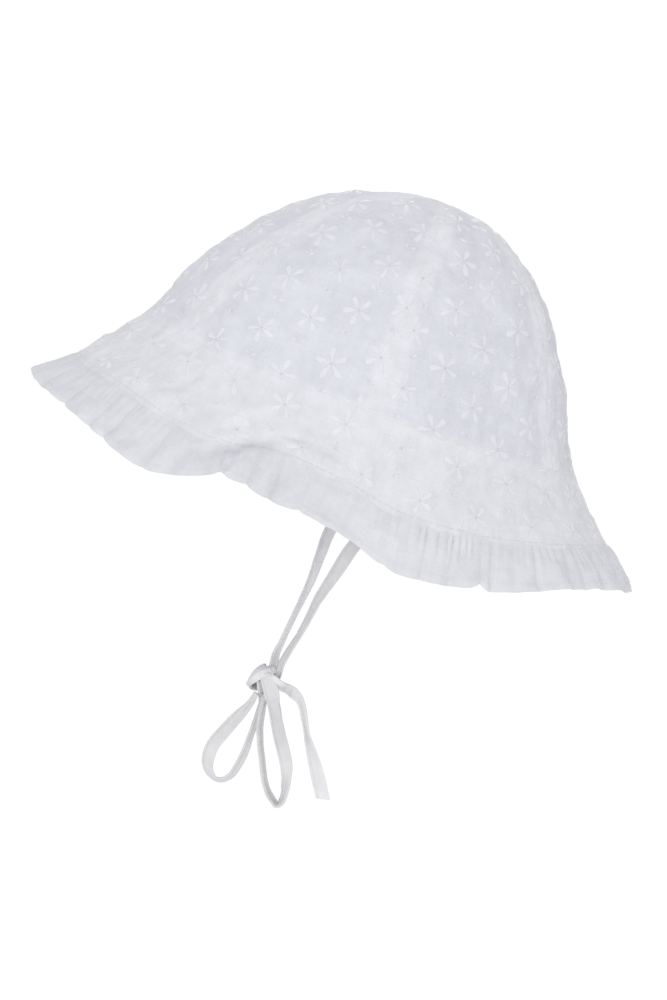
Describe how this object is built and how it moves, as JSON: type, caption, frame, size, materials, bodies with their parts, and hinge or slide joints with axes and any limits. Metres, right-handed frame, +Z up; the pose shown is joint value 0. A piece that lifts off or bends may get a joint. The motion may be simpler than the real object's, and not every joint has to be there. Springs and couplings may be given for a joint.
{
  "type": "sun hat",
  "caption": "White toddler's sun hat with embroidered panelled crown, flared brim, gathered ruffle and chin ties in a bow.",
  "frame": {"origin": "centre of the head opening, where the crown meets the brim", "axes": "+Z up as worn, -X towards the hat's front, which is raised by 21 degrees, -Y towards the wearer's left"},
  "size_m": [0.2432, 0.18, 0.2468],
  "materials": {
    "crown_cloth": "matte",
    "brim_cloth": "matte",
    "ruffle_cloth": "matte",
    "tie_tape": "matte",
    "embroidery_thread": "satin",
    "sewing_thread": "satin"
  },
  "bodies": {
    "root": {"crown_panel_front": "crown_cloth", "crown_panel_front_left": "crown_cloth", "crown_panel_back_left": "crown_cloth", "crown_panel_back": "crown_cloth", "crown_panel_back_right": "crown_cloth", "crown_panel_front_right": "crown_cloth", "brim": "brim_cloth", "ruffle": "ruffle_cloth", "tie_left": "tie_tape", "tie_right": "tie_tape", "bow_knot": "tie_tape", "bow_loop_front": "tie_tape", "bow_loop_back": "tie_tape", "bow_tail_front": "tie_tape", "bow_tail_back": "tie_tape"}
  },
  "joints": []
}
